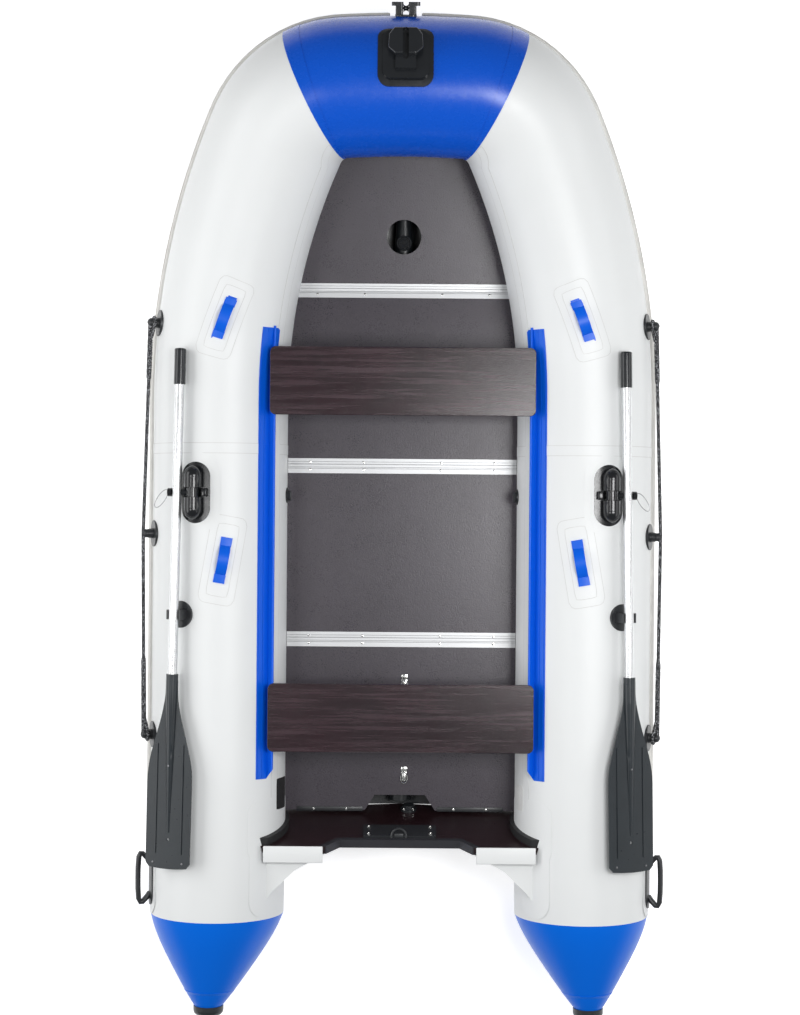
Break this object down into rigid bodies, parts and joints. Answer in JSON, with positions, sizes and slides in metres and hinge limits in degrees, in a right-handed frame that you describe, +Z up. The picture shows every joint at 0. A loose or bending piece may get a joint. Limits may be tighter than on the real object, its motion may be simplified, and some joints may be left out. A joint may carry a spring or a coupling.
{
  "type": "inflatable_boat",
  "caption": "Inflatable dinghy with plywood floor, raked motor transom, sliding benches, oars in hinged oarlocks, lifelines and a bow roller",
  "frame": {"origin": "ground level under the middle of the boat, halfway between fairlead and cone tips", "axes": "+X starboard, +Y to the bow, +Z up"},
  "size_m": [1.6756, 3.1742, 0.6925],
  "materials": {
    "tube_skin": "satin",
    "bottom_fabric": "satin",
    "blue_skin": "satin",
    "black_plastic": "satin",
    "blade_plastic": "satin",
    "film_ply": "film-faced satin",
    "alloy": "satin",
    "strake_rubber": "matt",
    "cord": "braided"
  },
  "bodies": {
    "hull": {"air_valves": "black_plastic", "bottom_skin": "bottom_fabric", "bow_cleat": "black_plastic", "bow_fairlead": "black_plastic", "bow_panel": "blue_skin", "clamp_plate_inner": "black_plastic", "clamp_plate_outer": "black_plastic", "cone_tips": "black_plastic", "drain_valve": "black_plastic", "floor_board_1": "film_ply", "floor_board_2": "film_ply", "floor_board_3": "film_ply", "floor_board_4": "film_ply", "floor_joiner_front": "alloy", "floor_joiner_middle": "alloy", "floor_joiner_rear": "alloy", "grab_straps": "blue_skin", "keel_tube": "bottom_fabric", "keel_valve": "black_plastic", "lifeline_port": "cord", "lifeline_starboard": "cord", "oar_clips": "black_plastic", "oarlock_base_port": "black_plastic", "oarlock_base_starboard": "black_plastic", "rope_eyes": "black_plastic", "rub_strake_port": "strake_rubber", "rub_strake_starboard": "strake_rubber", "seat_rail_port": "blue_skin", "seat_rail_starboard": "blue_skin", "side_stringers": "alloy", "stern_cone_port": "blue_skin", "stern_cone_starboard": "blue_skin", "stern_handles": "black_plastic", "transom": "film_ply", "transom_edge_cap": "black_plastic", "transom_gussets": "tube_skin", "transom_holders": "black_plastic", "tube_aft_port": "tube_skin", "tube_aft_starboard": "tube_skin", "tube_fore_port": "tube_skin", "tube_fore_starboard": "tube_skin"},
    "oar_port": {"oar_blade_port": "blade_plastic", "oar_grip_port": "black_plastic", "oar_shaft_port": "alloy", "oarlock_swivel_port": "black_plastic"},
    "oar_starboard": {"oar_blade_starboard": "blade_plastic", "oar_grip_starboard": "black_plastic", "oar_shaft_starboard": "alloy", "oarlock_swivel_starboard": "black_plastic"},
    "bench_front": {"bench_front": "film_ply", "bench_channels_front": "black_plastic"},
    "bench_rear": {"bench_rear": "film_ply", "bench_channels_rear": "black_plastic"},
    "bow_roller": {"bow_roller": "black_plastic"}
  },
  "joints": [
    {"name": "oar_lift_port", "type": "hinge", "parent": "hull", "child": "oar_port", "pos_m": [-0.65004, 0.074, 0.44519], "axis": [0, 1, 0], "range_deg": [0, 65]},
    {"name": "oar_lift_starboard", "type": "hinge", "parent": "hull", "child": "oar_starboard", "pos_m": [0.65004, 0.074, 0.44519], "axis": [0, -1, 0], "range_deg": [0, 65]},
    {"name": "bench_front_slide", "type": "slide", "parent": "hull", "child": "bench_front", "axis": [0, 1, 0], "range_m": [-0.415, 0.02]},
    {"name": "bench_rear_slide", "type": "slide", "parent": "hull", "child": "bench_rear", "axis": [0, 1, 0], "range_m": [-0.095, 0.415]},
    {"name": "bow_roller_spin", "type": "hinge", "parent": "hull", "child": "bow_roller", "pos_m": [0, 1.56396, 0.50634], "axis": [1, 0, 0], "continuous": true}
  ]
}
